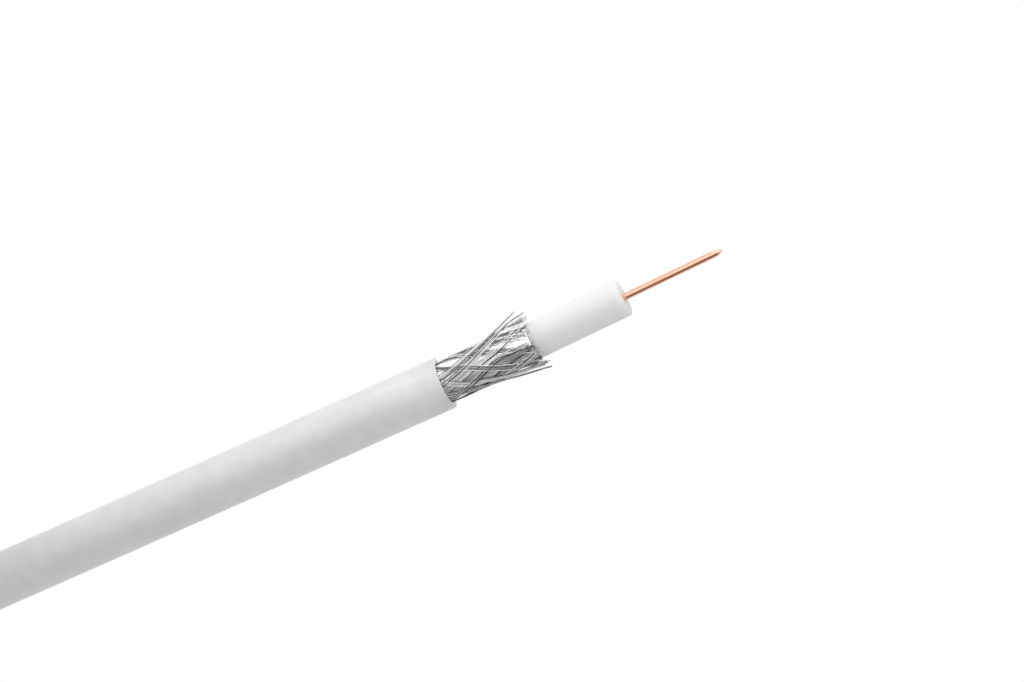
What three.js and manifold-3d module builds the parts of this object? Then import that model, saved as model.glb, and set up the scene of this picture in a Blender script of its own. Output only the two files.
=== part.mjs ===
// A coil of white coaxial cable: the stripped end lies straight out on the surface,
// and the rest of the length is wound into a round coil held by cable ties.
// Millimetres, +Z up, the surface at z = 0.
import * as THREE from "three";
import { mergeVertices } from "three/addons/utils/BufferGeometryUtils.js";
import Module from "manifold-3d";

// Cable section, from the middle outwards
const conductorDiameter = 0.9;
const dielectricDiameter = 4.8;
const foilThickness = 0.06;
const braidThickness = 0.16;
const jacketDiameter = 6.8;
const layerFit = 0.03; // clearance between one layer and the next
const sectionSides = 12;

// Stripped end, each length measured from the jacket's cut
const foilBared = 12.2;
const braidBared = 12.9;
const dielectricBared = 25.0;
const conductorBared = 38.7;
const strippedKink = THREE.MathUtils.degToRad(1.45); // the core turns this far to the left
const kinkLength = 4;

// Braid: ribbons of fine wires, combed out into a flare
const ribbonWidth = 0.95;
const ribbonThickness = 0.12; // one wire
const ribbonSteps = 12;
const layAngle = THREE.MathUtils.degToRad(21);
const braidFlare = 0.85; // how far the wires' tips stand off their place on the foil
const tipSpread = 0.45; // how unevenly they are cut
const springOut = 0.12; // the ribbons let go of the foil within this length
const springLength = 1;
const collarLength = 2.2; // still closed, just out of the jacket
const ribbonRoot = 0.27; // how far each ribbon reaches back into the closed braid
const surfaceClearance = 0.1; // the flare is pressed up by the surface it lies on

// Straight run between the coil and the jacket's cut
const runHeading = THREE.MathUtils.degToRad(30);
const shownRun = 62.3;
const leadOut = 36.5; // from the tangent point on the coil to the shown run
const runSteps = 10;

// Coil of side by side turns
const coilMiddleDiameter = 11 * jacketDiameter;
const layers = 3;
const rows = 7;
const turnGap = 0.2;
const scallopSpan = THREE.MathUtils.degToRad(50);
const coilSegments = 40;
const coilFit = 0.3; // between the coil and the run that leaves it

// Cable ties round the bundle of turns
const tieAngles = [20, 135, 250].map(THREE.MathUtils.degToRad);
const tieWidth = 3.6;
const tieThickness = 1.1;
const tieFit = 0.1;
const tieHead = { width: 5.6, depth: 4.2, height: 6.2, belowTop: 7 };
const tieCornerSteps = 5;

// Radii and places that follow from the sizes above
const jacketRadius = jacketDiameter / 2;
const dielectricRadius = dielectricDiameter / 2;
const foilInner = dielectricRadius + layerFit;
const foilOuter = foilInner + foilThickness;
const braidInner = foilOuter + layerFit;
const braidOuter = braidInner + braidThickness;
const jacketBore = braidOuter + layerFit;
const turnPitch = jacketDiameter + turnGap;
const firstTurn = (coilMiddleDiameter - (layers - 1) * turnPitch) / 2;
const lastTurn = firstTurn + (layers - 1) * turnPitch;
const coilInner = firstTurn - jacketRadius;
const coilOuter = lastTurn + jacketRadius;
const coilBottom = tieThickness + tieFit;
const firstRow = coilBottom + jacketRadius;
const coilTop = firstRow + (rows - 1) * turnPitch + jacketRadius;
const jacketCut = leadOut + shownRun;
const keepOut = coilOuter + coilFit;

const wasm = await Module();
wasm.setup();

function toSolid(geometry) {
  const bare = geometry.index ? geometry.toNonIndexed() : geometry.clone();
  const merged = mergeVertices(
    new THREE.BufferGeometry().setAttribute("position", bare.attributes.position),
    1e-4,
  );
  return new wasm.Manifold(
    new wasm.Mesh({
      numProp: 3,
      vertProperties: merged.attributes.position.array,
      triVerts: new Uint32Array(merged.index.array),
    }),
  );
}

function toGeometry(solid) {
  const mesh = solid.getMesh();
  const geometry = new THREE.BufferGeometry();
  geometry.setAttribute("position", new THREE.BufferAttribute(mesh.vertProperties, 3));
  geometry.setIndex(new THREE.BufferAttribute(mesh.triVerts, 1));
  geometry.computeVertexNormals();
  return geometry;
}

// Direction of the core at a distance along the run: straight, then the slight kink.
function headingAt(distance) {
  const turned = THREE.MathUtils.clamp((distance - jacketCut) / kinkLength, 0, 1);
  return runHeading + turned * strippedKink;
}

// Centre of the cable at a distance from the tangent point. It leaves the lowest outer
// turn, comes down on the surface and goes on straight.
function runPoint(distance) {
  const side = new THREE.Vector2(Math.sin(runHeading), -Math.cos(runHeading));
  const along = new THREE.Vector2(Math.cos(runHeading), Math.sin(runHeading));
  const plan = side.multiplyScalar(lastTurn);
  plan.addScaledVector(along, Math.min(distance, jacketCut));
  const bent = THREE.MathUtils.clamp(distance - jacketCut, 0, kinkLength);
  const halfway = runHeading + (strippedKink * bent) / kinkLength / 2;
  plan.add(new THREE.Vector2(Math.cos(halfway), Math.sin(halfway)).multiplyScalar(bent));
  const rest = Math.max(distance - jacketCut - kinkLength, 0);
  const last = runHeading + strippedKink;
  plan.add(new THREE.Vector2(Math.cos(last), Math.sin(last)).multiplyScalar(rest));
  const raised = 1 - THREE.MathUtils.smoothstep(distance, 0, leadOut);
  return new THREE.Vector3(plan.x, plan.y, jacketRadius + coilBottom * raised);
}

// The run as a three.js curve that stops at chosen distances, so that every layer
// of the cable has its corners at the same places.
class RunPath extends THREE.Curve {
  constructor(stations) {
    super();
    this.stations = stations;
  }
  distanceAt(u) {
    const index = u * (this.stations.length - 1);
    const before = Math.floor(index);
    const after = Math.min(before + 1, this.stations.length - 1);
    return THREE.MathUtils.lerp(this.stations[before], this.stations[after], index - before);
  }
  getPointAt(u, target = new THREE.Vector3()) {
    return target.copy(runPoint(this.distanceAt(u)));
  }
  getTangentAt(u, target = new THREE.Vector3()) {
    const heading = headingAt(this.distanceAt(u));
    return target.set(Math.cos(heading), Math.sin(heading), 0);
  }
}

function stationsBetween(from, to) {
  const straight = Array.from({ length: runSteps + 1 }, (_, i) => (jacketCut * i) / runSteps);
  const bend = [0.25, 0.5, 0.75, 1].map((share) => jacketCut + share * kinkLength);
  const between = [...straight, ...bend].filter((s) => s > from + 0.5 && s < to - 0.5);
  return [from, ...between, to];
}

function polygon(radius) {
  return Array.from({ length: sectionSides }, (_, i) => {
    const angle = (2 * Math.PI * i) / sectionSides;
    return new THREE.Vector2(radius * Math.cos(angle), radius * Math.sin(angle));
  });
}

// One layer of the cable between two distances, with a bore unless inner is 0.
function layerTube(outer, inner, from, to) {
  const section = new THREE.Shape(polygon(outer));
  if (inner > 0) section.holes.push(new THREE.Path(polygon(inner)));
  const stations = stationsBetween(from, to);
  return new THREE.ExtrudeGeometry(section, {
    steps: stations.length - 1,
    bevelEnabled: false,
    extrudePath: new RunPath(stations),
  });
}

// Where a layer of this radius has come clear of the coil.
function clearOfCoil(radius) {
  return Math.sqrt((keepOut + radius) ** 2 - lastTurn ** 2);
}

function jacketGeometry() {
  const start = clearOfCoil(jacketRadius) / 2;
  const tube = toSolid(layerTube(jacketRadius, jacketBore, start, jacketCut));
  const coilRoom = new THREE.CylinderGeometry(keepOut, keepOut, 2 * coilTop, 2 * coilSegments);
  coilRoom.rotateX(Math.PI / 2);
  return toGeometry(tube.subtract(toSolid(coilRoom)));
}

// One ribbon of the braid. It starts inside the wall of the closed braid, flat on one
// side of its section. From there it winds round the cable and opens outwards.
function ribbonGeometry(index) {
  const reach = braidBared - (tipSpread * (1 + Math.sin(2.4 * index))) / 2;
  const start = collarLength - ribbonRoot;
  const strip = new THREE.BoxGeometry(reach - start, ribbonWidth, ribbonThickness, ribbonSteps);
  const flatSide = ((braidInner + braidOuter) / 2) * Math.cos(Math.PI / sectionSides);
  strip.translate((reach + start) / 2, 0, flatSide);
  const position = strip.attributes.position;
  const firstAngle = (2 * Math.PI * (index + 0.5)) / sectionSides;
  for (let i = 0; i < position.count; i += 1) {
    const distance = position.getX(i);
    const free = distance - collarLength;
    const angle = firstAngle + (Math.max(free, 0) * Math.tan(layAngle)) / braidInner;
    const sprung = springOut * THREE.MathUtils.smoothstep(free, 0, springLength);
    const opened = sprung + braidFlare * THREE.MathUtils.smoothstep(free, 0, braidBared);
    const downwards = Math.max(-Math.sin(angle), 0.01);
    const roomBelow = (jacketRadius - surfaceClearance) / downwards - braidOuter;
    const radius = position.getZ(i) + Math.min(opened, roomBelow);
    const across = position.getY(i);
    const outX = radius * Math.cos(angle) + across * Math.sin(angle);
    const outZ = radius * Math.sin(angle) - across * Math.cos(angle);
    const heading = headingAt(jacketCut + distance);
    const place = runPoint(jacketCut + distance);
    place.x -= Math.sin(heading) * outX;
    place.y += Math.cos(heading) * outX;
    place.z += outZ;
    position.setXYZ(i, place.x, place.y, place.z);
  }
  return strip;
}

// The braid is closed inside the jacket and a little beyond it, then comes apart.
function braidGeometry() {
  const from = clearOfCoil(jacketBore);
  let braid = toSolid(layerTube(braidOuter, braidInner, from, jacketCut + collarLength));
  for (let index = 0; index < sectionSides; index += 1) {
    braid = braid.add(toSolid(ribbonGeometry(index)));
  }
  return toGeometry(braid);
}

// Outline of the bundle of turns, with one scallop for each turn on its outside.
function coilSection() {
  const flatAngle = scallopSpan / 3;
  const points = [];
  const scallop = (radius, height, facing, corner) => {
    const reach = corner ? jacketRadius : jacketRadius / Math.cos(flatAngle);
    const angles = [-3, -1, 1, 3].map((step) => facing + step * flatAngle);
    if (corner) {
      const turned = angles.map((angle) => angle + Math.PI / 2);
      angles.splice(3, 1, facing + Math.PI / 4, ...turned.slice(1));
    }
    for (const angle of angles) {
      points.push(new THREE.Vector2(radius + reach * Math.cos(angle), height + reach * Math.sin(angle)));
    }
  };
  const radiusOf = (layer) => firstTurn + layer * turnPitch;
  const heightOf = (row) => firstRow + row * turnPitch;
  const lastLayer = layers - 1;
  const lastRow = rows - 1;
  for (let row = 1; row < lastRow; row += 1) scallop(radiusOf(lastLayer), heightOf(row), 0);
  scallop(radiusOf(lastLayer), heightOf(lastRow), 0, true);
  for (let layer = lastLayer - 1; layer > 0; layer -= 1) {
    scallop(radiusOf(layer), heightOf(lastRow), Math.PI / 2);
  }
  scallop(radiusOf(0), heightOf(lastRow), Math.PI / 2, true);
  for (let row = lastRow - 1; row > 0; row -= 1) scallop(radiusOf(0), heightOf(row), Math.PI);
  scallop(radiusOf(0), heightOf(0), Math.PI, true);
  for (let layer = 1; layer < lastLayer; layer += 1) {
    scallop(radiusOf(layer), heightOf(0), -Math.PI / 2);
  }
  scallop(radiusOf(lastLayer), heightOf(0), -Math.PI / 2, true);
  points.push(points[0].clone());
  return points;
}

function coilGeometry() {
  const ring = new THREE.LatheGeometry(coilSection(), coilSegments);
  return ring.rotateX(Math.PI / 2);
}

// Rounded outline round the bundle, standing off it by the given margin. The bore side
// lies a little further out, where the bore's facets come closest to the strap.
function bundleOutline(margin) {
  const boreFacet = coilInner * Math.cos(Math.PI / coilSegments);
  const boreSide = Math.sqrt(boreFacet ** 2 - (tieWidth / 2) ** 2);
  const left = boreSide - margin;
  const right = coilOuter + margin;
  const bottom = coilBottom - margin;
  const top = coilTop + margin;
  const round = jacketRadius + margin;
  const outline = [];
  const corner = (x, y, from) => {
    for (let i = 0; i <= tieCornerSteps; i += 1) {
      const angle = from + ((Math.PI / 2) * i) / tieCornerSteps;
      outline.push(new THREE.Vector2(x + round * Math.cos(angle), y + round * Math.sin(angle)));
    }
  };
  corner(right - round, top - round, 0);
  corner(left + round, top - round, Math.PI / 2);
  corner(left + round, bottom + round, Math.PI);
  corner(right - round, bottom + round, 1.5 * Math.PI);
  return outline;
}

// A strap drawn tight round the bundle, with its head in the coil's bore.
function tieGeometry() {
  const strapShape = new THREE.Shape(bundleOutline(tieFit + tieThickness));
  strapShape.holes.push(new THREE.Path(bundleOutline(tieFit)));
  const strap = new THREE.ExtrudeGeometry(strapShape, { depth: tieWidth, bevelEnabled: false });
  strap.translate(0, 0, -tieWidth / 2);
  const innerFace = Math.min(...bundleOutline(tieFit).map((point) => point.x));
  const head = new THREE.BoxGeometry(tieHead.depth, tieHead.height, tieHead.width);
  const seat = tieThickness / 2;
  head.translate(
    innerFace - seat - tieHead.depth / 2,
    coilTop - tieHead.belowTop - tieHead.height / 2,
    0,
  );
  const tie = toGeometry(toSolid(strap).add(toSolid(head)));
  return tie.rotateX(Math.PI / 2);
}

function finish(color, roughness, metalness = 0) {
  return new THREE.MeshStandardMaterial({ color, roughness, metalness });
}

function piece(name, geometry, material) {
  const mesh = new THREE.Mesh(geometry, material);
  mesh.name = name;
  return mesh;
}

const whitePvc = finish(0xe6e5e2, 0.45);
const tinnedWire = finish(0xc9cbcd, 0.3, 1);
const aluminiumFoil = finish(0xe4e5e7, 0.2, 1);
const foamPolyethylene = finish(0xf1f1f0, 0.5);
const bareCopper = finish(0xc98a68, 0.25, 1);
const whiteNylon = finish(0xefeeea, 0.4);

const layerStart = clearOfCoil(jacketBore);
const coreBore = conductorDiameter / 2 + layerFit;
const coil = new THREE.Group();
coil.add(
  piece("cable_coil", coilGeometry(), whitePvc),
  piece("jacket", jacketGeometry(), whitePvc),
  piece("braid", braidGeometry(), tinnedWire),
  piece("foil", layerTube(foilOuter, foilInner, layerStart, jacketCut + foilBared), aluminiumFoil),
  piece(
    "dielectric",
    layerTube(dielectricRadius, coreBore, layerStart, jacketCut + dielectricBared),
    foamPolyethylene,
  ),
  piece(
    "centre_conductor",
    layerTube(conductorDiameter / 2, 0, layerStart, jacketCut + conductorBared),
    bareCopper,
  ),
);
const strap = tieGeometry();
tieAngles.forEach((angle, i) => {
  const tie = piece(`coil_tie_${i + 1}`, strap, whiteNylon);
  tie.rotation.z = angle;
  coil.add(tie);
});

// The origin is under the middle of the whole coil and run.
const part = new THREE.Group();
part.add(coil);
const box = new THREE.Box3().setFromObject(coil, true);
const middle = box.getCenter(new THREE.Vector3());
coil.position.set(-middle.x, -middle.y, -box.min.z);

export default part;
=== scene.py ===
# White coaxial cable with a stripped end, the rest of its length wound in a tied coil.
# Everything is worked out in millimetres and turned to metres where it becomes a mesh.
import math
import random

import bmesh
import bpy
from mathutils import Matrix, Vector


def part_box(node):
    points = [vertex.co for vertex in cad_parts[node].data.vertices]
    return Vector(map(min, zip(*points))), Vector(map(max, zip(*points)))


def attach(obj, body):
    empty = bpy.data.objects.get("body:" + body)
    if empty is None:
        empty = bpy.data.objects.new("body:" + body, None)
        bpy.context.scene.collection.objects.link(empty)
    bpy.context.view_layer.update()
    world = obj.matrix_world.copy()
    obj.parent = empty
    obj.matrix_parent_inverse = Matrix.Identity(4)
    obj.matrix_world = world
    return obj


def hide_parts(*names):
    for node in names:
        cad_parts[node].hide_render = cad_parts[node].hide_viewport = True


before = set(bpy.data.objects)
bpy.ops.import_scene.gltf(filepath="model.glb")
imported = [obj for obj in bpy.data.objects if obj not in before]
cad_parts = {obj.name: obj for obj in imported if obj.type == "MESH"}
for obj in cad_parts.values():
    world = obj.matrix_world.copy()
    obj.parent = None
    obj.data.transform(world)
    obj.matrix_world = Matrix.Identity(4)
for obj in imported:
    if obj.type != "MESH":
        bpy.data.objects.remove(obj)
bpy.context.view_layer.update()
mm = 0.001

# The cable's own section, as a data sheet lists it
cable = {
    "jacketDiameter": 6.8,
    "jacketWall": 0.69,
    "dielectricDiameter": 4.8,
    "foilThickness": 0.06,
    "layerGap": 0.03,               # between one layer and the next
    "wireDiameter": 0.12,
    "conductorDiameter": 0.9,
    "soldLength": 5045.0,           # a 5 m coil, with a little over
}
# The stripped end, each length measured from the jacket's cut
stripped = {
    "foil": 12.2,
    "dielectric": 25.0,
    "conductor": 38.7,
    "kink": math.radians(1.45),     # the core turns this much to the left of the jacket
    "kinkLength": 4.0,
    "tipPinch": 0.4,                # what is left of the wire's width at its tip
    "rimSlack": 0.2,                # the knife's pull drew the jacket's rim back by this much
}
# The straight run that shows, and the unseen bit that joins it to the coil
run = {
    "heading": math.radians(30),
    "shown": 62.3,
    "leadOut": 36.5,
    "bowRadius": 10500.0,           # the jacket keeps a trace of the curve it was wound in
    "pointSpacing": 9.0,
}
coil = {
    "layers": 3,
    "rows": 7,
    "turnPitch": 7.0,
    "pointsPerTurn": 60,
    "climb": (270, 345),            # degrees of a turn between which it steps to the next row
    "layerChange": 75,              # degrees that the step to the next layer takes
    "wobble": 0.09,                 # how far a turn strays from its place
    "wobbleWaves": (1.7, 2.3),      # how often it strays in a turn, sideways and in height
    "wobblePhases": 6,              # turns differ, and after this many they repeat
    "settle": 90,                   # degrees over which the wobble sets in
    "seed": 11,
}

coilLow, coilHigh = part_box("cable_coil")
coilCentre = (coilLow + coilHigh) / 2 / mm
jacketRadius = cable["jacketDiameter"] / 2
foilRadius = cable["dielectricDiameter"] / 2 + cable["foilThickness"] + cable["layerGap"]
lastTurn = (coilHigh.x - coilLow.x) / 2 / mm - jacketRadius
firstRow = coilLow.z / mm + jacketRadius
coilBore = lastTurn - (coil["layers"] - 1) * coil["turnPitch"] - jacketRadius
jacketCut = run["leadOut"] + run["shown"]
along = Vector((math.cos(run["heading"]), math.sin(run["heading"]), 0))
left = Vector((-along.y, along.x, 0))
up = Vector((0, 0, 1))


def smooth(low, high, value):
    share = min(max((value - low) / (high - low), 0), 1)
    return share * share * (3 - 2 * share)


def headingAt(distance):
    turned = min(max((distance - jacketCut) / stripped["kinkLength"], 0), 1)
    angle = run["heading"] + turned * stripped["kink"]
    return Vector((math.cos(angle), math.sin(angle), 0))


# Middle of the cable at a distance from where it leaves the coil
def runPoint(distance):
    point = coilCentre - left * lastTurn + along * min(distance, jacketCut)
    bent = min(max(distance - jacketCut, 0), stripped["kinkLength"])
    halfway = run["heading"] + stripped["kink"] * bent / stripped["kinkLength"] / 2
    point += Vector((math.cos(halfway), math.sin(halfway), 0)) * bent
    point += headingAt(distance) * max(distance - jacketCut - stripped["kinkLength"], 0)
    behind = max(jacketCut - distance, 0)
    point += left * behind ** 2 / 2 / run["bowRadius"] * smooth(0, run["leadOut"], distance)
    point.z = jacketRadius + (firstRow - jacketRadius) * (1 - smooth(0, run["leadOut"], distance))
    return point


# Camera and light

camera = {
    "focal": 400.0,                 # long enough that the jacket keeps its width across the picture
    "sensor": 36.0,
    "imageWidth": 1024,
    "imageHeight": 682,
    "pixelsPerMm": 7.97,
    "cutPixel": (446.3, 382.1),     # middle of the jacket's cut
    "cableSlope": math.radians(24.15),
    "lean": math.radians(10),       # the stripped end points this much towards the lens
    "clip": (0.05, 50),
}


# Right, up and backwards of the camera, so that the cable lies as it does in the picture
def pictureAxes():
    back = along * math.sin(camera["lean"]) + up * math.cos(camera["lean"])
    ahead = (along - back * along.dot(back)).normalized()
    side = back.cross(ahead)
    slope = camera["cableSlope"]
    right = ahead * math.cos(slope) - side * math.sin(slope)
    return right, back.cross(right), back


def placeCamera():
    right, above, back = pictureAxes()
    distance = camera["imageWidth"] * camera["focal"] / camera["sensor"] / camera["pixelsPerMm"]
    cutX, cutY = camera["cutPixel"]
    across = (camera["imageWidth"] / 2 - cutX) / camera["pixelsPerMm"]
    upwards = (cutY - camera["imageHeight"] / 2) / camera["pixelsPerMm"]
    place = runPoint(jacketCut) + right * across + above * upwards + back * distance
    lens = bpy.data.cameras.new("camera")
    lens.lens = camera["focal"]
    lens.sensor_width = camera["sensor"]
    lens.clip_start, lens.clip_end = camera["clip"]
    eye = bpy.data.objects.new("camera", lens)
    bpy.context.scene.collection.objects.link(eye)
    turn = Matrix((right, above, back)).transposed().to_4x4()
    eye.matrix_world = Matrix.Translation(place * mm) @ turn
    bpy.context.scene.camera = eye


light = {
    "stripPower": 2.9,
    "stripSize": (0.9, 0.28),
    "stripDistance": 0.75,
    "stripTilt": math.radians(80),  # from the lens towards the top of the picture
    "skyFill": 0.51,                # matt surfaces get this much from all the sky
    "skyShare": 0.25,               # and this share of what shiny ones see in it
    "floorGlow": 1.0,
    "floorFill": 0.45,              # share of the floor's glow that lights matt surfaces
    # the sky's brightness from the bottom of the picture (0) over the lens (0.5) to its top (1)
    "sky": [(0.0, 0.5), (0.08, 0.14), (0.2, 0.2), (0.36, 0.7), (0.55, 1.0), (0.75, 1.9), (0.9, 0.9),
            (1.0, 0.6)],
}


def addStrip():
    right, above, back = pictureAxes()
    tilt = light["stripTilt"]
    towards = back * math.cos(tilt) + above * math.sin(tilt)
    lamp = bpy.data.lights.new("strip", "AREA")
    lamp.shape = "RECTANGLE"
    lamp.size, lamp.size_y = light["stripSize"]
    lamp.energy = light["stripPower"]
    strip = bpy.data.objects.new("strip", lamp)
    bpy.context.scene.collection.objects.link(strip)
    target = runPoint(jacketCut) * mm
    lengthways = (along - towards * along.dot(towards)).normalized()
    turn = Matrix((lengthways, towards.cross(lengthways), towards)).transposed().to_4x4()
    strip.matrix_world = Matrix.Translation(target + towards * light["stripDistance"]) @ turn


# A sky that is brighter towards the top of the picture, and plain white to the lens itself
def addSky():
    above = pictureAxes()[1]
    world = bpy.data.worlds.new("studio")
    bpy.context.scene.world = world
    world.use_nodes = True
    tree = world.node_tree
    background = tree.nodes["Background"]
    background.inputs["Color"].default_value = (1, 1, 1, 1)
    direction = addNode(tree, "ShaderNodeTexCoord").outputs["Generated"]
    height = addNode(tree, "ShaderNodeVectorMath", {"operation": "DOT_PRODUCT", 1: above},
                     {0: direction})
    share = addNode(tree, "ShaderNodeMapRange", {"From Min": -1.0}, {"Value": height.outputs["Value"]})
    sky = addNode(tree, "ShaderNodeValToRGB", links={"Fac": share.outputs["Result"]})
    sky.color_ramp.interpolation = "EASE"
    stops = sky.color_ramp.elements
    for place, strength in light["sky"][1:-1]:
        stops.new(place)
    for stop, (place, strength) in zip(stops, light["sky"]):
        stop.position = place
        stop.color = (strength, strength, strength, 1)
    ray = addNode(tree, "ShaderNodeLightPath")
    matt = addNode(tree, "ShaderNodeMath",
                   {"operation": "MULTIPLY_ADD", 1: light["skyShare"], 2: light["skyFill"]},
                   {0: sky.outputs["Color"]})
    level = addNode(tree, "ShaderNodeMix", links={
        "Factor": ray.outputs["Is Diffuse Ray"], "A": sky.outputs["Color"], "B": matt.outputs["Value"],
    })
    strength = addNode(tree, "ShaderNodeMath", {"operation": "MAXIMUM"},
                       {0: level.outputs["Result"], 1: ray.outputs["Is Camera Ray"]})
    tree.links.new(strength.outputs["Value"], background.inputs["Strength"])
    bpy.context.scene.view_settings.view_transform = "Standard"


# Materials

# An sRGB hex colour as the linear colour that a shader socket takes
def hexColour(code):
    parts = [int(code[i:i + 2], 16) / 255 for i in (0, 2, 4)]
    linear = [p / 12.92 if p <= 0.04045 else ((p + 0.055) / 1.055) ** 2.4 for p in parts]
    return (*linear, 1)


# Adds a node, gives it its settings and joins its inputs to other nodes' outputs
def addNode(tree, kind, settings=None, links=None):
    node = tree.nodes.new(kind)
    for name, value in (settings or {}).items():
        if isinstance(name, str) and hasattr(node, name):
            setattr(node, name, value)
        else:
            node.inputs[name].default_value = value
    for name, source in (links or {}).items():
        tree.links.new(source, node.inputs[name])
    return node


def newMaterial(name, settings):
    material = bpy.data.materials.new(name)
    material.use_nodes = True
    tree = material.node_tree
    tree.nodes.clear()
    shader = addNode(tree, "ShaderNodeBsdfPrincipled", settings)
    addNode(tree, "ShaderNodeOutputMaterial", links={"Surface": shader.outputs["BSDF"]})
    return material, tree, shader


# Texture scale for a pattern of this size in millimetres, on coordinates in metres
def perMm(size):
    return 1 / (size * mm)


def jacketPvc():
    # Plasticised PVC, extruded: satin, faintly wavy along its length, with the odd speck of dust
    material, tree, shader = newMaterial("extruded white PVC", {
        "Base Color": hexColour("e6e5e4"), "Roughness": 0.35, "IOR": 1.53,
        "Subsurface Weight": 0.08, "Subsurface Scale": 0.0008,
        "Subsurface Radius": (1.0, 0.9, 0.8), "Specular IOR Level": 0.45,
    })
    place = addNode(tree, "ShaderNodeTexCoord").outputs["Object"]
    mottle = addNode(tree, "ShaderNodeTexNoise", {"Scale": perMm(2.2), "Detail": 3.0},
                     {"Vector": place})
    tint = addNode(tree, "ShaderNodeValToRGB", links={"Fac": mottle.outputs["Fac"]})
    tint.color_ramp.elements[0].color = hexColour("e2e1e0")
    tint.color_ramp.elements[1].color = hexColour("e8e7e6")
    tint.color_ramp.elements[0].position = 0.35
    tint.color_ramp.elements[1].position = 0.65
    tree.links.new(tint.outputs["Color"], shader.inputs["Base Color"])
    grain = addNode(tree, "ShaderNodeTexNoise", {"Scale": perMm(0.35), "Detail": 4.0}, {"Vector": place})
    rough = addNode(tree, "ShaderNodeMapRange", {"To Min": 0.31, "To Max": 0.41},
                    {"Value": grain.outputs["Fac"]})
    tree.links.new(rough.outputs["Result"], shader.inputs["Roughness"])
    wave = addNode(tree, "ShaderNodeTexNoise", {"Scale": perMm(1.6), "Detail": 2.0}, {"Vector": place})
    broad = addNode(tree, "ShaderNodeBump", {"Strength": 0.25, "Distance": 0.008 * mm},
                    {"Height": wave.outputs["Fac"]})
    fine = addNode(tree, "ShaderNodeBump", {"Strength": 0.2, "Distance": 0.004 * mm},
                   {"Height": grain.outputs["Fac"], "Normal": broad.outputs["Normal"]})
    tree.links.new(fine.outputs["Normal"], shader.inputs["Normal"])
    return material


def foamPolyethylene():
    # Gas-injected polyethylene: whiter than the jacket, light passes a little way into it
    material, tree, shader = newMaterial("foamed polyethylene", {
        "Base Color": hexColour("ebebeb"), "Roughness": 0.5, "IOR": 1.5, "Specular IOR Level": 0.15,
        "Subsurface Weight": 0.85, "Subsurface Scale": 0.0028,
        "Subsurface Radius": (1.0, 1.0, 1.0),
    })
    place = addNode(tree, "ShaderNodeTexCoord").outputs["Object"]
    cells = addNode(tree, "ShaderNodeTexNoise", {"Scale": perMm(0.3), "Detail": 3.0}, {"Vector": place})
    skin = addNode(tree, "ShaderNodeBump", {"Strength": 0.2, "Distance": 0.006 * mm},
                   {"Height": cells.outputs["Fac"]})
    tree.links.new(skin.outputs["Normal"], shader.inputs["Normal"])
    gloss = addNode(tree, "ShaderNodeMapRange", {"To Min": 0.46, "To Max": 0.56},
                    {"Value": cells.outputs["Fac"]})
    tree.links.new(gloss.outputs["Result"], shader.inputs["Roughness"])
    return material


def drawnCopper():
    # Bare annealed copper wire: bright, with faint lines from the drawing die
    material, tree, shader = newMaterial("drawn copper wire", {
        "Base Color": hexColour("f2b498"), "Metallic": 1.0, "Roughness": 0.12,
    })
    place = addNode(tree, "ShaderNodeTexCoord").outputs["Object"]
    tarnish = addNode(tree, "ShaderNodeTexNoise", {"Scale": perMm(1.1), "Detail": 3.0},
                      {"Vector": place})
    tint = addNode(tree, "ShaderNodeValToRGB", links={"Fac": tarnish.outputs["Fac"]})
    tint.color_ramp.elements[0].color = hexColour("efab8d")
    tint.color_ramp.elements[1].color = hexColour("fac6ae")
    tree.links.new(tint.outputs["Color"], shader.inputs["Base Color"])
    scratch = addNode(tree, "ShaderNodeTexNoise", {"Scale": perMm(0.12), "Detail": 2.0},
                      {"Vector": place})
    lines = addNode(tree, "ShaderNodeBump", {"Strength": 0.15, "Distance": 0.004 * mm},
                    {"Height": scratch.outputs["Fac"]})
    tree.links.new(lines.outputs["Normal"], shader.inputs["Normal"])
    return material


def aluminiumFoil():
    # Laminated aluminium foil: mirror-like where it is flat, broken up by fine creases
    material, tree, shader = newMaterial("aluminium foil", {
        "Base Color": hexColour("f8f8f9"), "Metallic": 1.0, "Roughness": 0.3,
    })
    place = addNode(tree, "ShaderNodeTexCoord").outputs["Object"]
    crease = addNode(tree, "ShaderNodeTexNoise", {"Scale": perMm(0.9), "Detail": 4.0, "Distortion": 0.6},
                     {"Vector": place})
    folds = addNode(tree, "ShaderNodeBump", {"Strength": 0.5, "Distance": 0.05 * mm},
                    {"Height": crease.outputs["Fac"]})
    tree.links.new(folds.outputs["Normal"], shader.inputs["Normal"])
    return material


def braidWire():
    # Drawn wires, thin as hair: most are bright, and some are given a dark colour, painted shade and
    # painted dark reflection that read as dark lines between the wires
    material, tree, shader = newMaterial("bright braid wire", {
        "Base Color": hexColour("dcdee0"), "Metallic": 1.0, "Roughness": 0.25,
    })
    tone = addNode(tree, "ShaderNodeAttribute", {"attribute_name": "tone"})
    tint = addNode(tree, "ShaderNodeValToRGB", links={"Fac": tone.outputs["Fac"]})
    # the dark end of this ramp is painted shade and painted dark reflection between the wires
    tint.color_ramp.elements[0].color = hexColour("3c3e41")
    tint.color_ramp.elements[1].color = hexColour("fafafb")
    tree.links.new(tint.outputs["Color"], shader.inputs["Base Color"])
    return material


def tieNylon():
    # Injection-moulded natural nylon: milky, slightly glossy
    material, tree, shader = newMaterial("moulded nylon", {
        "Base Color": hexColour("f1f1ee"), "Roughness": 0.35, "IOR": 1.53,
        "Subsurface Weight": 0.2, "Subsurface Scale": 0.001,
        "Subsurface Radius": (1.0, 0.95, 0.85),
    })
    place = addNode(tree, "ShaderNodeTexCoord").outputs["Object"]
    haze = addNode(tree, "ShaderNodeTexNoise", {"Scale": perMm(0.5), "Detail": 2.0}, {"Vector": place})
    skin = addNode(tree, "ShaderNodeBump", {"Strength": 0.15, "Distance": 0.01 * mm},
                   {"Height": haze.outputs["Fac"]})
    tree.links.new(skin.outputs["Normal"], shader.inputs["Normal"])
    return material


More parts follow.
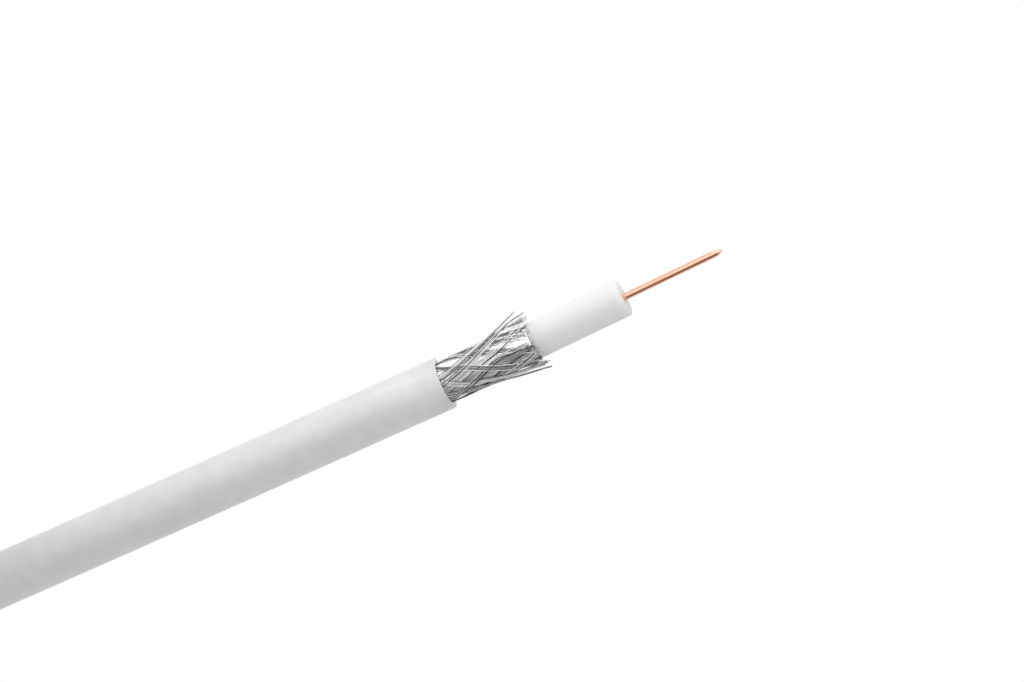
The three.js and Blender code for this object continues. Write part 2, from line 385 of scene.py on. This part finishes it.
def floorPaper():
    material, tree, shader = newMaterial("white paper sweep", {
        "Base Color": hexColour("000000"), "Roughness": 0.9, "Specular IOR Level": 0.0,
        "Emission Color": (1, 1, 1, 1),
    })
    ray = addNode(tree, "ShaderNodeLightPath")
    glow = addNode(tree, "ShaderNodeMapRange",
                   {"To Min": light["floorGlow"], "To Max": light["floorGlow"] * light["floorFill"]},
                   {"Value": ray.outputs["Is Diffuse Ray"]})
    tree.links.new(glow.outputs["Result"], shader.inputs["Emission Strength"])
    return material


finishes = {
    "jacket": jacketPvc(),
    "foam": foamPolyethylene(),
    "copper": drawnCopper(),
    "foil": aluminiumFoil(),
    "wire": braidWire(),
    "nylon": tieNylon(),
    "floor": floorPaper(),
}


# Making pieces

mergeDistance = 0.0001              # corners nearer than this, in millimetres, become one
straightOn = 0.99                   # a face whose normal has this cosine to a heading faces along it


# A finished mesh, in metres and in place, becomes a piece that rides on the cable
def addPiece(name, mesh, finish):
    mesh.materials.clear()
    mesh.materials.append(finishes[finish])
    for polygon in mesh.polygons:
        polygon.use_smooth = True
    piece = bpy.data.objects.new(name, mesh)
    bpy.context.scene.collection.objects.link(piece)
    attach(piece, "root")
    return piece


# Adds a round wire along each route of points in millimetres to the shape
def sweepWires(shape, routes, radius, corners, tone=None):
    curve = bpy.data.curves.new("wires", "CURVE")
    curve.dimensions = "3D"
    curve.fill_mode = "FULL"
    curve.bevel_depth = radius * mm
    curve.bevel_resolution = corners // 2 - 2
    curve.use_fill_caps = True
    curve.twist_mode = "MINIMUM"
    for route in routes:
        spline = curve.splines.new("POLY")
        spline.points.add(len(route) - 1)
        for point, place in zip(spline.points, route):
            point.co = (*(place * mm), 1)
    carrier = bpy.data.objects.new("wires", curve)
    bpy.context.scene.collection.objects.link(carrier)
    mesh = bpy.data.meshes.new_from_object(carrier)
    bpy.data.objects.remove(carrier)
    bpy.data.curves.remove(curve)
    before = len(shape.verts)
    shape.from_mesh(mesh)
    bpy.data.meshes.remove(mesh)
    shape.verts.ensure_lookup_table()
    fresh = shape.verts[before:]
    if tone is not None:
        for vert in fresh:
            vert[shape.verts.layers.float["tone"]] = tone
    bmesh.ops.remove_doubles(shape, verts=fresh, dist=mergeDistance * mm)


# The flat face that closes a wire at a point, facing along the heading
def wireEnd(shape, place, heading, radius):
    flat = [face for face in shape.faces if abs(face.normal.dot(heading)) > straightOn
            and (face.calc_center_median() - place * mm).length < radius * mm]
    return bmesh.ops.dissolve_faces(shape, faces=flat)["region"][0]


def meshFrom(shape, name):
    bmesh.ops.recalc_face_normals(shape, faces=shape.faces)
    mesh = bpy.data.meshes.new(name)
    shape.to_mesh(mesh)
    shape.free()
    return mesh


# Route of the jacket

# Turns of the coil, from the run's tangent point inwards to the far end, as points. The outer
# layer climbs, the next one comes down and the innermost climbs again. Each turn steps to the next
# row in one zone, and each layer change follows just after it.
def coilRoute():
    climbFrom, climbTo = coil["climb"]
    climbStart = climbFrom + (360 - climbTo)
    sideWaves, heightWaves = coil["wobbleWaves"]
    random.seed(coil["seed"])
    phases = [random.uniform(0, 2 * math.pi) for _ in range(coil["wobblePhases"])]
    wanted = cable["soldLength"] - stripped["conductor"] - jacketCut
    points, length, degrees = [], 0.0, 0.0
    while length < wanted:
        turn = int((degrees + (360 - climbTo)) // 360)
        within = (degrees + (360 - climbTo)) % 360
        layer = min(turn // coil["rows"], coil["layers"] - 1)
        inLayer = turn - layer * coil["rows"]
        rise = smooth(climbStart, 360, within) if inLayer < coil["rows"] - 1 else 0
        row = inLayer + rise
        if layer % 2:
            row = coil["rows"] - 1 - row
        shift = 0
        if layer > 0 and inLayer == 0:
            shift = 1 - smooth(0, coil["layerChange"], within)
        radius = lastTurn - (layer - shift) * coil["turnPitch"]
        height = firstRow + row * coil["turnPitch"]
        wobble = coil["wobble"] * smooth(0, coil["settle"], degrees)
        sidePhase = phases[turn % len(phases)]
        heightPhase = phases[(turn + len(phases) // 2) % len(phases)]
        radius += wobble * math.sin(math.radians(degrees * sideWaves) + sidePhase)
        height += wobble * math.sin(math.radians(degrees * heightWaves) + heightPhase)
        angle = run["heading"] - math.pi / 2 - math.radians(degrees)
        place = Vector((coilCentre.x + radius * math.cos(angle),
                        coilCentre.y + radius * math.sin(angle), height))
        if points:
            gained = (place - points[-1]).length
            if length + gained >= wanted:
                place = points[-1].lerp(place, (wanted - length) / gained)
            length += gained
        points.append(place)
        degrees += 360 / coil["pointsPerTurn"]
    return points


jacketEnds = {
    "corners": 32,
    "rimRound": 0.08,
    # how deep the bore is open at the cut, in steps that are a share of the route's spacing
    "nearSteps": 7,
    "nearStep": 0.95,
    # and at the far end, in millimetres
    "farSteps": 1,
    "farStep": 3.0,
}


def jacketRoute():
    count = round(jacketCut / run["pointSpacing"])
    shownEnd = jacketCut - stripped["rimSlack"]
    straight = [runPoint(shownEnd * (1 - i / count)) for i in range(count)]
    return straight + coilRoute()


def makeJacket():
    route = jacketRoute()
    shape = bmesh.new()
    sweepWires(shape, [route], jacketRadius, jacketEnds["corners"])
    bmesh.ops.recalc_face_normals(shape, faces=shape.faces)
    wall = cable["jacketWall"] - jacketEnds["rimRound"]
    ends = [
        (route[0], route[1], jacketEnds["nearSteps"], run["pointSpacing"] * jacketEnds["nearStep"]),
        (route[-1], route[-2], jacketEnds["farSteps"], jacketEnds["farStep"]),
    ]
    for place, nextPlace, count, depth in ends:
        inwards = (nextPlace - place).normalized()
        end = wireEnd(shape, place, -inwards, jacketRadius)
        bmesh.ops.inset_individual(shape, faces=[end], thickness=wall * mm)
        bmesh.ops.inset_individual(shape, faces=[end], thickness=jacketEnds["rimRound"] * mm)
        for _ in range(count):
            end = bmesh.ops.extrude_discrete_faces(shape, faces=[end])["faces"][0]
            bmesh.ops.translate(shape, verts=end.verts, vec=inwards * depth * mm)
    piece = addPiece("jacketSheath", meshFrom(shape, "jacketSheath"), "jacket")
    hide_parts("cable_coil", "jacket")
    return piece, route


placeCamera()
addStrip()
addSky()
jacket, route = makeJacket()
farEnd = route[-1]
farHeading = (route[-1] - route[-2]).normalized()
print("jacket: route of", len(route), "points,", round(sum(
    (b - a).length for a, b in zip(route, route[1:])), 1), "mm")


# Pieces of the stripped end

layers = {
    "dielectricCorners": 48,
    "dielectricEdge": 0.08,
    "conductorCorners": 24,
    "conductorSpacing": 0.7,
    "conductorInside": 3,           # the wire is made from this far inside the dielectric
    "foilCorners": 64,
    "foilSpacing": 0.25,
    # the far end: how deep its layers are made, and how far two of them stand proud of the cut
    "farDepth": 3.5,
    "farDielectric": 0.03,
    "farConductor": 0.08,
}


def layerRoute(start, end, spacing=1.0):
    count = max(2, round((end - start) / spacing))
    return [runPoint(jacketCut + start + (end - start) * i / count) for i in range(count + 1)]


# The last bit of the cable at its other end, cut flush, with what stands proud of the cut
def farRoute(proud):
    return [farEnd - farHeading * layers["farDepth"], farEnd + farHeading * proud]


def makeDielectric():
    shape = bmesh.new()
    route = layerRoute(-run["shown"], stripped["dielectric"])
    radius = cable["dielectricDiameter"] / 2
    sweepWires(shape, [route], radius, layers["dielectricCorners"])
    cut = wireEnd(shape, route[-1], headingAt(jacketCut + stripped["dielectric"]), radius)
    bmesh.ops.bevel(shape, geom=list(cut.edges), offset=layers["dielectricEdge"] * mm, segments=2,
                    profile=0.5, affect="EDGES", material=-1)
    sweepWires(shape, [farRoute(layers["farDielectric"])], radius, layers["dielectricCorners"])
    piece = addPiece("dielectricCore", meshFrom(shape, "dielectricCore"), "foam")
    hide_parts("dielectric")


def makeConductor():
    shape = bmesh.new()
    radius = cable["conductorDiameter"] / 2
    bared = layerRoute(stripped["dielectric"] - layers["conductorInside"], stripped["conductor"],
                       layers["conductorSpacing"])
    sweepWires(shape, [bared, farRoute(layers["farConductor"])], radius, layers["conductorCorners"])
    # side cutters left the tip pinched
    tip = runPoint(jacketCut + stripped["conductor"])
    heading = headingAt(jacketCut + stripped["conductor"])
    end = wireEnd(shape, tip, heading, radius)
    frameTurn = Matrix((heading, Vector((-heading.y, heading.x, 0)), up)).to_4x4()
    bmesh.ops.scale(shape, verts=list(end.verts), vec=(1, stripped["tipPinch"], 1),
                    space=frameTurn @ Matrix.Translation(-tip * mm))
    piece = addPiece("centreWire", meshFrom(shape, "centreWire"), "copper")
    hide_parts("centre_conductor")


def makeFoil():
    shape = bmesh.new()
    route = layerRoute(-run["shown"], stripped["foil"], layers["foilSpacing"])
    sweepWires(shape, [route, farRoute(0)], foilRadius, layers["foilCorners"])
    piece = addPiece("screenFoil", meshFrom(shape, "screenFoil"), "foil")
    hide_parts("foil")


braid = {
    "wiresPerBundle": 5,
    "spacing": 0.16,                # between the middles of neighbouring wires
    "unevenness": 0.045,
    # share of each bundle's wires given the dark colour of painted shade and painted dark reflection
    "risingShade": (0.35, 0.08, 0.3, 0.5, 0.5, 0.4, 0.4),
    "fallingShade": (0.6, 0.55, 0.35, 0.5, 0.3),
    "hiddenShade": 0.25,
    # tone range of the wires darkened as painted shade and painted dark reflection
    "shadeTone": (0.05, 0.4),
    "brightTone": (0.8, 1),
    "pointsPerWire": 18,
    "wireCorners": 8,
    "parting": (5, 13),             # a bundle's wires part between these distances from the cut
    "raggedFrom": 8,
    "ragged": (-0.5, 0.3),          # how much shorter or longer than its bundle a wire is
    "fan": (0.9, 1.5),
    "strayTurn": 3,                 # degrees
    "strayLift": 0.12,
    "shake": 0.0105,
    "offFloor": 0.05,
    "hiddenPairs": 4,
    "hiddenStart": 118,             # degrees round the cable where the first pair leaves the jacket
    "hiddenStep": 42,               # and from each pair to the next
    "cutWires": 96,                 # wire ends that show round the far end's cut
    "cutRagged": (-0.06, 0.02),     # how far they stand proud of it
    "seed": 4,
}

# Bundles of wires, listed one by one: (from the cut, turned down the picture from the top, lift off the
# foil), in millimetres and degrees. The rising ones go up the picture, the falling ones down.
risingBundles = [
    [(-1, -12, 0.14), (0, -16, 0.14), (2.4, -29, 0.14), (6.0, -60, 0.25), (8.9, -76, 0.9),
     (11.6, -86, 1.7)],
    [(-1, 12, 0.14), (1.2, 0, 0.14), (3.1, -12, 0.14), (5.0, -27, 0.18), (7.0, -45, 0.3),
     (8.9, -62, 0.55), (10.8, -74, 0.9), (12.6, -80, 1.0)],
    [(-1, 30, 0), (0, 26, 0), (3.5, 3, 0.0), (6.0, -10, 0.1), (8.4, -24, 0.14), (11.0, -42, 0.4),
     (12.7, -52, 0.5)],
    [(-1, 64, 0.14), (0, 58, 0.14), (4.1, 30, 0.14), (5.4, 19, 0.14), (7.5, 4, 0.14), (9.2, 4, 0.2),
     (11.4, 6, 0.25), (12.7, 10, 0.25)],
    [(-1, 108, 0), (1, 98, 0.05), (4.5, 84, 0.1), (8.0, 62, 0.14), (10.5, 50, 0.3), (12.8, 42, 0.4)],
    [(-1, 122, 0), (1, 110, 0), (4.5, 76, 0), (7.0, 50, 0.02), (9.5, 36, 0.05), (12.6, 28, 0.1)],
    [(-1, 134, 0), (1, 124, 0), (4.5, 98, 0), (7.5, 70, 0.02), (10.0, 58, 0.1), (12.7, 54, 0.2)],
]
fallingBundles = [
    [(-1, -96, 0), (0, -90, 0.1), (1.8, -84, 0.2), (4.0, -52, 0), (6.0, -32, 0), (8.0, -15, 0),
     (10, 0, 0.1), (12.5, 15, 0.2)],
    [(-1, -58, 0), (0, -50, 0), (1, -36, 0), (3.9, -9, 0.14), (6.2, 16, 0.16), (8.0, 33, 0.14),
     (10.5, 52, 0.3), (12.7, 62, 0.5)],
    [(-1, -14, 0), (0.2, -3, 0.1), (1.2, 12, 0.14), (3.1, 33, 0.1), (5.4, 51, 0.05), (8.0, 66, 0.3),
     (12.2, 74, 0.7)],
    [(-1, 30, 0.14), (0, 38, 0.14), (1.6, 51, 0.1), (3.4, 63, 0.1), (6.0, 76, 0.25), (9.0, 84, 0.6),
     (12.7, 90, 1.1)],
    [(-1, -130, 0), (4, -98, 0.1), (8, -62, 0.1), (10, -48, 0.2), (12.5, -34, 0.4)],
]


# A point on the smooth line through the given ones, share going from 0 to 1
def catmull(points, share):
    place = share * (len(points) - 1)
    i = min(int(place), len(points) - 2)
    t = place - i
    p = [points[max(0, min(len(points) - 1, i + k))] for k in (-1, 0, 1, 2)]
    return tuple(
        0.5 * (2 * b + (c - a) * t + (2 * a - 5 * b + 4 * c - d) * t * t
               + (3 * b - a - 3 * c + d) * t ** 3)
        for a, b, c, d in zip(*p)
    )


# A wire's middle on the cable, turned down the picture from the top of the cable
def wirePoint(distance, degrees, lift):
    angle = math.radians(degrees)
    ahead = headingAt(jacketCut + distance)
    sideways = Vector((-ahead.y, ahead.x, 0))
    wireRadius = cable["wireDiameter"] / 2
    radius = foilRadius + cable["layerGap"] + wireRadius + lift
    place = runPoint(jacketCut + distance)
    place += (up * math.cos(angle) - sideways * math.sin(angle)) * radius
    place.z = max(place.z, wireRadius + braid["offFloor"])
    return place


# The far side of the braid, woven evenly and combed out like the near side
def hiddenBundles():
    rising = [(-1, 0, 0), (4, -34, 0.05), (8, -62, 0.2), (12.8, -92, 0.6)]
    falling = [(-1, 0, 0.14), (4, 34, 0.14), (8, 62, 0.3), (12.6, 90, 0.6)]
    bundles = []
    for i in range(braid["hiddenPairs"]):
        start = braid["hiddenStart"] + braid["hiddenStep"] * i
        for bundle in (rising, falling):
            bundles.append([(distance, start + degrees, lift) for distance, degrees, lift in bundle])
    return bundles


# One wire of a bundle, beside the bundle's middle at first, and then a little astray
def wireRoute(bundle, turned):
    ragged = random.uniform(*braid["ragged"])
    stray = random.gauss(0, 1)
    fan = random.uniform(*braid["fan"])
    points = []
    for i in range(braid["pointsPerWire"]):
        distance, degrees, lift = catmull(bundle, i / (braid["pointsPerWire"] - 1))
        parted = smooth(*braid["parting"], distance)
        distance += ragged * smooth(braid["raggedFrom"], braid["parting"][1], distance)
        degrees += turned * (1 + parted * (fan - 1)) + stray * braid["strayTurn"] * parted
        lift += abs(stray) * braid["strayLift"] * parted + random.gauss(0, braid["shake"])
        points.append(wirePoint(distance, degrees, lift))
    return points


def makeBraid():
    random.seed(braid["seed"])
    wireRadius = cable["wireDiameter"] / 2
    shape = bmesh.new()
    shape.verts.layers.float.new("tone")
    bundles = [*zip(risingBundles, braid["risingShade"]), *zip(fallingBundles, braid["fallingShade"])]
    bundles += [(bundle, braid["hiddenShade"]) for bundle in hiddenBundles()]
    for bundle, shadeShare in bundles:
        for wire in range(braid["wiresPerBundle"]):
            offset = (wire - (braid["wiresPerBundle"] - 1) / 2) * braid["spacing"]
            offset += random.uniform(-1, 1) * braid["unevenness"]
            # wires picked here get the dark colour: painted shade and painted dark reflection between
            # the wires
            inShade = random.random() < shadeShare
            tone = random.uniform(*braid["shadeTone" if inShade else "brightTone"])
            route = wireRoute(bundle, math.degrees(offset / foilRadius))
            sweepWires(shape, [route], wireRadius, braid["wireCorners"], tone)
    outwards = farHeading.orthogonal().normalized() * (foilRadius + cable["layerGap"] + wireRadius)
    for i in range(braid["cutWires"]):
        turned = Matrix.Rotation(2 * math.pi * i / braid["cutWires"], 3, farHeading) @ outwards
        route = [place + turned for place in farRoute(random.uniform(*braid["cutRagged"]))]
        sweepWires(shape, [route], wireRadius, braid["wireCorners"], 1)
    piece = addPiece("screenBraid", meshFrom(shape, "screenBraid"), "wire")
    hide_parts("braid")


makeDielectric()
makeConductor()
makeFoil()
makeBraid()
print("stripped end: wires, foil, foam and copper made")


# Cable ties

tie = {
    "angles": (20, 135, 250),       # places round the coil, in degrees
    "width": 3.6,
    "thickness": 1.1,
    "fit": 0.1,
    "strapEdge": 0.28,
    "bendSteps": 10,
    "headDepth": 4.2,
    "headHeight": 6.2,
    "headWidth": 5.6,
    "belowTop": 7.0,
    "headEdge": 0.7,
    "headRounding": 4,              # faces across a rounded edge
    "slotHeight": 1.9,
    "slotWidth": 4.2,
    "slotRim": 0.05,
    "slotDepth": 1.2,
    "tailStub": 1.3,                # what the cutter left of the tail
    "tailEdge": 0.15,
    "tailRounding": 2,
}


# A strap drawn tight round the turns, then its head in the coil's bore. It's made standing in the
# XZ plane, with X pointing away from the middle of the coil.
def tieShape():
    outer = (coilHigh.x - coilLow.x) / 2 / mm + tie["fit"]
    inner = coilBore - tie["fit"]
    bottom = coilLow.z / mm - tie["fit"]
    top = coilHigh.z / mm + tie["fit"]
    bend = jacketRadius + tie["fit"]
    shape = bmesh.new()
    profile = bmesh.ops.create_grid(shape, x_segments=1, y_segments=1, size=0.5)
    bmesh.ops.scale(shape, verts=profile["verts"], vec=(tie["thickness"] * mm, tie["width"] * mm, 1))
    bmesh.ops.bevel(shape, geom=profile["verts"], offset=tie["strapEdge"] * mm, segments=3,
                    profile=0.5, affect="VERTICES", material=-1)
    headMiddle = top - tie["fit"] - tie["belowTop"] - tie["headHeight"] / 2
    bmesh.ops.translate(shape, verts=shape.verts,
                        vec=Vector((inner - tie["thickness"] / 2, 0, headMiddle)) * mm)
    front = list(shape.edges)
    bmesh.ops.delete(shape, geom=list(shape.faces), context="FACES_ONLY")
    # each straight stretch and the bend that follows it; the last one ends in the head
    stretches = [
        (0, 1, top - bend - headMiddle, inner + bend, top - bend),
        (1, 0, outer - inner - 2 * bend, outer - bend, top - bend),
        (0, -1, top - bottom - 2 * bend, outer - bend, bottom + bend),
        (-1, 0, outer - inner - 2 * bend, inner + bend, bottom + bend),
        (0, 1, headMiddle - bottom - bend, None, None),
    ]
    for sideways, upwards, reach, centreX, centreZ in stretches:
        made = bmesh.ops.extrude_edge_only(shape, edges=front)["geom"]
        moved = [item for item in made if isinstance(item, bmesh.types.BMVert)]
        front = [item for item in made if isinstance(item, bmesh.types.BMEdge)]
        bmesh.ops.translate(shape, verts=moved, vec=Vector((sideways, 0, upwards)) * reach * mm)
        if centreX is None:
            continue
        made = bmesh.ops.spin(shape, geom=front, cent=Vector((centreX, 0, centreZ)) * mm,
                              axis=(0, 1, 0), angle=math.pi / 2, steps=tie["bendSteps"])["geom_last"]
        front = [item for item in made if isinstance(item, bmesh.types.BMEdge)]
    headX = inner - tie["thickness"] / 2 - tie["headDepth"] / 2
    addBlock(shape, (tie["headDepth"], tie["headWidth"], tie["headHeight"]), (headX, 0, headMiddle),
             tie["headEdge"], tie["headRounding"])
    return shape, headX - tie["headDepth"] / 2, headMiddle


# A block with rounded edges, its size and middle in millimetres
def addBlock(shape, size, middle, edge, segments):
    corners = bmesh.ops.create_cube(shape, size=1)["verts"]
    bmesh.ops.scale(shape, verts=corners, vec=Vector(size) * mm)
    bmesh.ops.translate(shape, verts=corners, vec=Vector(middle) * mm)
    sides = list({side for vert in corners for side in vert.link_edges})
    bmesh.ops.bevel(shape, geom=sides, offset=edge * mm, segments=segments, profile=0.5,
                    affect="EDGES", material=-1)


# The mouth in the head, with the stub of the cut tail in it
def addMouth(shape, mouthX, middle):
    mouth = min(shape.faces, key=lambda face: face.calc_center_median().x)
    inset = (tie["headWidth"] - 2 * tie["headEdge"] - tie["slotWidth"]) / 2
    bmesh.ops.inset_individual(shape, faces=[mouth], thickness=max(inset, tie["slotRim"]) * mm)
    squash = tie["slotHeight"] / (tie["headHeight"] - 2 * tie["headEdge"] - 2 * inset)
    centre = mouth.calc_center_median()
    for vert in mouth.verts:
        vert.co.z = centre.z + (vert.co.z - centre.z) * squash
    slot = bmesh.ops.extrude_discrete_faces(shape, faces=[mouth])["faces"][0]
    bmesh.ops.translate(shape, verts=slot.verts, vec=(tie["slotDepth"] * mm, 0, 0))
    length = tie["tailStub"] + tie["slotDepth"]
    addBlock(shape, (length, tie["width"], tie["thickness"]),
             (mouthX + tie["slotDepth"] - length / 2, 0, middle), tie["tailEdge"], tie["tailRounding"])


def makeTies():
    for number, degrees in enumerate(tie["angles"], 1):
        shape, mouthX, middle = tieShape()
        addMouth(shape, mouthX, middle)
        bmesh.ops.rotate(shape, verts=shape.verts, cent=(0, 0, 0),
                         matrix=Matrix.Rotation(math.radians(degrees), 3, "Z"))
        bmesh.ops.translate(shape, verts=shape.verts, vec=Vector((coilCentre.x, coilCentre.y, 0)) * mm)
        name = "strapTie" + str(number)
        piece = addPiece(name, meshFrom(shape, name), "nylon")
        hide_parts("coil_tie_" + str(number))


makeTies()
print("ties: three straps with their heads in the bore")


floorReach = 3.0                    # metres from its middle to each side


def makeFloor():
    mesh = bpy.data.meshes.new("floor")
    shape = bmesh.new()
    bmesh.ops.create_grid(shape, x_segments=1, y_segments=1, size=floorReach)
    shape.to_mesh(mesh)
    shape.free()
    mesh.materials.append(finishes["floor"])
    floor = bpy.data.objects.new("floor", mesh)
    bpy.context.scene.collection.objects.link(floor)


makeFloor()
